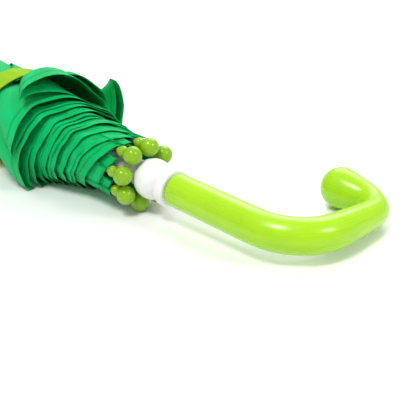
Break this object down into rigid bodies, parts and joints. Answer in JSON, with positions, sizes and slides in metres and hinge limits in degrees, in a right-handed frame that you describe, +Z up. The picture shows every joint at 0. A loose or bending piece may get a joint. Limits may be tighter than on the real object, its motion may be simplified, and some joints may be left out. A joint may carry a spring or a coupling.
{
  "type": "children's umbrella",
  "caption": "Child's stick umbrella with a hook handle, sliding runner, hinged ribs and stretchers and a green canopy, lying shut and rolled.",
  "frame": {"origin": "on the floor, under the middle of the shut umbrella's bounding box", "axes": "+X along the umbrella towards the hook handle, +Y to the side that the hook turns to, +Z up off the floor; the shaft falls by 3.2 degrees towards +X, and the hook dips by 3.6 degrees so that its bulb meets the floor"},
  "size_m": [0.6251, 0.1108, 0.0611],
  "materials": {
    "lime_plastic": "glossy lime green",
    "white_plastic": "white, satin",
    "dark_steel": "dark grey enamel on steel",
    "green_cloth": "emerald green woven polyester",
    "lime_cloth": "lime green woven tape"
  },
  "bodies": {
    "frame": {"handle": "lime_plastic", "shaft": "dark_steel", "ferrule": "white_plastic", "top_cap": "lime_plastic", "notch": "white_plastic", "notch_wire": "dark_steel", "shaft_stop": "dark_steel"},
    "runner": {"runner_grip": "white_plastic", "runner_crown": "white_plastic"},
    "top_catch": {"top_catch": "dark_steel"},
    "bottom_catch": {"bottom_catch": "dark_steel"},
    "rib_1": {"rib_1": "dark_steel", "rivet_1": "dark_steel", "tip_1": "lime_plastic"},
    "stretcher_1": {"stretcher_1": "dark_steel"},
    "gore_1": {"gore_1": "green_cloth"},
    "rib_2": {"rib_2": "dark_steel", "rivet_2": "dark_steel", "tip_2": "lime_plastic"},
    "stretcher_2": {"stretcher_2": "dark_steel"},
    "gore_2": {"gore_2": "green_cloth"},
    "rib_3": {"rib_3": "dark_steel", "rivet_3": "dark_steel", "tip_3": "lime_plastic"},
    "stretcher_3": {"stretcher_3": "dark_steel"},
    "gore_3": {"gore_3": "green_cloth"},
    "rib_4": {"rib_4": "dark_steel", "rivet_4": "dark_steel", "tip_4": "lime_plastic"},
    "stretcher_4": {"stretcher_4": "dark_steel"},
    "gore_4": {"gore_4": "green_cloth"},
    "rib_5": {"rib_5": "dark_steel", "rivet_5": "dark_steel", "tip_5": "lime_plastic"},
    "stretcher_5": {"stretcher_5": "dark_steel"},
    "gore_5": {"gore_5": "green_cloth"},
    "rib_6": {"rib_6": "dark_steel", "rivet_6": "dark_steel", "tip_6": "lime_plastic"},
    "stretcher_6": {"stretcher_6": "dark_steel"},
    "gore_6": {"gore_6": "green_cloth"},
    "rib_7": {"rib_7": "dark_steel", "rivet_7": "dark_steel", "tip_7": "lime_plastic"},
    "stretcher_7": {"stretcher_7": "dark_steel"},
    "gore_7": {"gore_7": "green_cloth", "strap": "lime_cloth", "strap_button": "lime_plastic"},
    "rib_8": {"rib_8": "dark_steel", "rivet_8": "dark_steel", "tip_8": "lime_plastic"},
    "stretcher_8": {"stretcher_8": "dark_steel"},
    "gore_8": {"gore_8": "green_cloth"}
  },
  "joints": [
    {"name": "runner_slide", "type": "slide", "parent": "frame", "child": "runner", "axis": [-0.9984, 0, 0.0564], "range_m": [0, 0.205]},
    {"name": "top_catch_press", "type": "slide", "parent": "frame", "child": "top_catch", "axis": [-0.0563, -0.0627, -0.9964], "range_m": [0, 0.0012], "stiffness_N_per_m": 400},
    {"name": "bottom_catch_press", "type": "slide", "parent": "frame", "child": "bottom_catch", "axis": [-0.0563, -0.0627, -0.9964], "range_m": [0, 0.0012], "stiffness_N_per_m": 400},
    {"name": "rib_1_hinge", "type": "hinge", "parent": "frame", "child": "rib_1", "pos_m": [-0.24821, -0.02282, 0.05058], "axis": [0.0152, -0.9632, 0.2684], "range_deg": [0, 66.8]},
    {"name": "stretcher_1_hinge", "type": "hinge", "parent": "rib_1", "child": "stretcher_1", "pos_m": [-0.05842, -0.02237, 0.04148], "axis": [0.0152, -0.9632, 0.2684], "range_deg": [-120.67, 0]},
    {"name": "gore_1_fan", "type": "hinge", "parent": "rib_1", "child": "gore_1", "pos_m": [-0.24821, -0.02282, 0.05058], "axis": [-0.0353, -0.1179, -0.9924], "range_deg": [0, 40.65]},
    {"name": "rib_2_hinge", "type": "hinge", "parent": "frame", "child": "rib_2", "pos_m": [-0.24824, -0.02738, 0.05003], "axis": [-0.0277, -0.8712, -0.4902], "range_deg": [0, 66.8]},
    {"name": "stretcher_2_hinge", "type": "hinge", "parent": "rib_2", "child": "stretcher_2", "pos_m": [-0.05846, -0.0282, 0.04078], "axis": [-0.0277, -0.8712, -0.4902], "range_deg": [-120.67, 0]},
    {"name": "gore_2_fan", "type": "hinge", "parent": "rib_2", "child": "gore_2", "pos_m": [-0.24824, -0.02738, 0.05003], "axis": [-0.0236, 0.6186, -0.7853], "range_deg": [0, 40.65]},
    {"name": "rib_3_hinge", "type": "hinge", "parent": "frame", "child": "rib_3", "pos_m": [-0.24845, -0.03021, 0.04642], "axis": [-0.0543, -0.2689, -0.9616], "range_deg": [0, 66.8]},
    {"name": "stretcher_3_hinge", "type": "hinge", "parent": "rib_3", "child": "stretcher_3", "pos_m": [-0.05872, -0.03183, 0.03616], "axis": [-0.0543, -0.2689, -0.9616], "range_deg": [-120.67, 0]},
    {"name": "gore_3_fan", "type": "hinge", "parent": "rib_3", "child": "gore_3", "pos_m": [-0.24845, -0.03021, 0.04642], "axis": [0.014, 0.9928, -0.1189], "range_deg": [0, 40.65]},
    {"name": "rib_4_hinge", "type": "hinge", "parent": "frame", "child": "rib_4", "pos_m": [-0.2487, -0.02966, 0.04187], "axis": [-0.0491, 0.491, -0.8698], "range_deg": [0, 66.8]},
    {"name": "stretcher_4_hinge", "type": "hinge", "parent": "rib_4", "child": "stretcher_4", "pos_m": [-0.05905, -0.03112, 0.03033], "axis": [-0.0491, 0.491, -0.8698], "range_deg": [-120.67, 0]},
    {"name": "gore_4_fan", "type": "hinge", "parent": "rib_4", "child": "gore_4", "pos_m": [-0.2487, -0.02966, 0.04187], "axis": [0.0555, 0.7854, 0.6165], "range_deg": [0, 40.65]},
    {"name": "rib_5_hinge", "type": "hinge", "parent": "frame", "child": "rib_5", "pos_m": [-0.24886, -0.02604, 0.03904], "axis": [-0.0152, 0.9632, -0.2684], "range_deg": [0, 66.8]},
    {"name": "stretcher_5_hinge", "type": "hinge", "parent": "rib_5", "child": "stretcher_5", "pos_m": [-0.05925, -0.0265, 0.02671], "axis": [-0.0152, 0.9632, -0.2684], "range_deg": [-120.67, 0]},
    {"name": "gore_5_fan", "type": "hinge", "parent": "rib_5", "child": "gore_5", "pos_m": [-0.24886, -0.02604, 0.03904], "axis": [0.0766, 0.1179, 0.9901], "range_deg": [0, 40.65]},
    {"name": "rib_6_hinge", "type": "hinge", "parent": "frame", "child": "rib_6", "pos_m": [-0.24883, -0.02149, 0.03959], "axis": [0.0277, 0.8712, 0.4902], "range_deg": [0, 66.8]},
    {"name": "stretcher_6_hinge", "type": "hinge", "parent": "rib_6", "child": "stretcher_6", "pos_m": [-0.05921, -0.02066, 0.02742], "axis": [0.0277, 0.8712, 0.4902], "range_deg": [-120.67, 0]},
    {"name": "gore_6_fan", "type": "hinge", "parent": "rib_6", "child": "gore_6", "pos_m": [-0.24883, -0.02149, 0.03959], "axis": [0.065, -0.6186, 0.783], "range_deg": [0, 40.65]},
    {"name": "rib_7_hinge", "type": "hinge", "parent": "frame", "child": "rib_7", "pos_m": [-0.24863, -0.01865, 0.0432], "axis": [0.0543, 0.2689, 0.9616], "range_deg": [0, 66.8]},
    {"name": "stretcher_7_hinge", "type": "hinge", "parent": "rib_7", "child": "stretcher_7", "pos_m": [-0.05895, -0.01704, 0.03204], "axis": [0.0543, 0.2689, 0.9616], "range_deg": [-120.67, 0]},
    {"name": "gore_7_fan", "type": "hinge", "parent": "rib_7", "child": "gore_7", "pos_m": [-0.24863, -0.01865, 0.0432], "axis": [0.0273, -0.9928, 0.1166], "range_deg": [0, 40.65]},
    {"name": "rib_8_hinge", "type": "hinge", "parent": "frame", "child": "rib_8", "pos_m": [-0.24837, -0.0192, 0.04775], "axis": [0.0491, -0.491, 0.8698], "range_deg": [0, 66.8]},
    {"name": "stretcher_8_hinge", "type": "hinge", "parent": "rib_8", "child": "stretcher_8", "pos_m": [-0.05862, -0.01774, 0.03786], "axis": [0.0491, -0.491, 0.8698], "range_deg": [-120.67, 0]},
    {"name": "gore_8_fan", "type": "hinge", "parent": "rib_8", "child": "gore_8", "pos_m": [-0.24837, -0.0192, 0.04775], "axis": [-0.0142, -0.7854, -0.6188], "range_deg": [0, 40.65]}
  ],
  "couplings": [
    {"joint": "rib_1_hinge", "follows": "runner_slide", "rad_per_m": 5.6872},
    {"joint": "stretcher_1_hinge", "follows": "runner_slide", "rad_per_m": -10.274},
    {"joint": "gore_1_fan", "follows": "runner_slide", "rad_per_m": 3.4605},
    {"joint": "rib_2_hinge", "follows": "runner_slide", "rad_per_m": 5.6872},
    {"joint": "stretcher_2_hinge", "follows": "runner_slide", "rad_per_m": -10.274},
    {"joint": "gore_2_fan", "follows": "runner_slide", "rad_per_m": 3.4605},
    {"joint": "rib_3_hinge", "follows": "runner_slide", "rad_per_m": 5.6872},
    {"joint": "stretcher_3_hinge", "follows": "runner_slide", "rad_per_m": -10.274},
    {"joint": "gore_3_fan", "follows": "runner_slide", "rad_per_m": 3.4605},
    {"joint": "rib_4_hinge", "follows": "runner_slide", "rad_per_m": 5.6872},
    {"joint": "stretcher_4_hinge", "follows": "runner_slide", "rad_per_m": -10.274},
    {"joint": "gore_4_fan", "follows": "runner_slide", "rad_per_m": 3.4605},
    {"joint": "rib_5_hinge", "follows": "runner_slide", "rad_per_m": 5.6872},
    {"joint": "stretcher_5_hinge", "follows": "runner_slide", "rad_per_m": -10.274},
    {"joint": "gore_5_fan", "follows": "runner_slide", "rad_per_m": 3.4605},
    {"joint": "rib_6_hinge", "follows": "runner_slide", "rad_per_m": 5.6872},
    {"joint": "stretcher_6_hinge", "follows": "runner_slide", "rad_per_m": -10.274},
    {"joint": "gore_6_fan", "follows": "runner_slide", "rad_per_m": 3.4605},
    {"joint": "rib_7_hinge", "follows": "runner_slide", "rad_per_m": 5.6872},
    {"joint": "stretcher_7_hinge", "follows": "runner_slide", "rad_per_m": -10.274},
    {"joint": "gore_7_fan", "follows": "runner_slide", "rad_per_m": 3.4605},
    {"joint": "rib_8_hinge", "follows": "runner_slide", "rad_per_m": 5.6872},
    {"joint": "stretcher_8_hinge", "follows": "runner_slide", "rad_per_m": -10.274},
    {"joint": "gore_8_fan", "follows": "runner_slide", "rad_per_m": 3.4605}
  ]
}
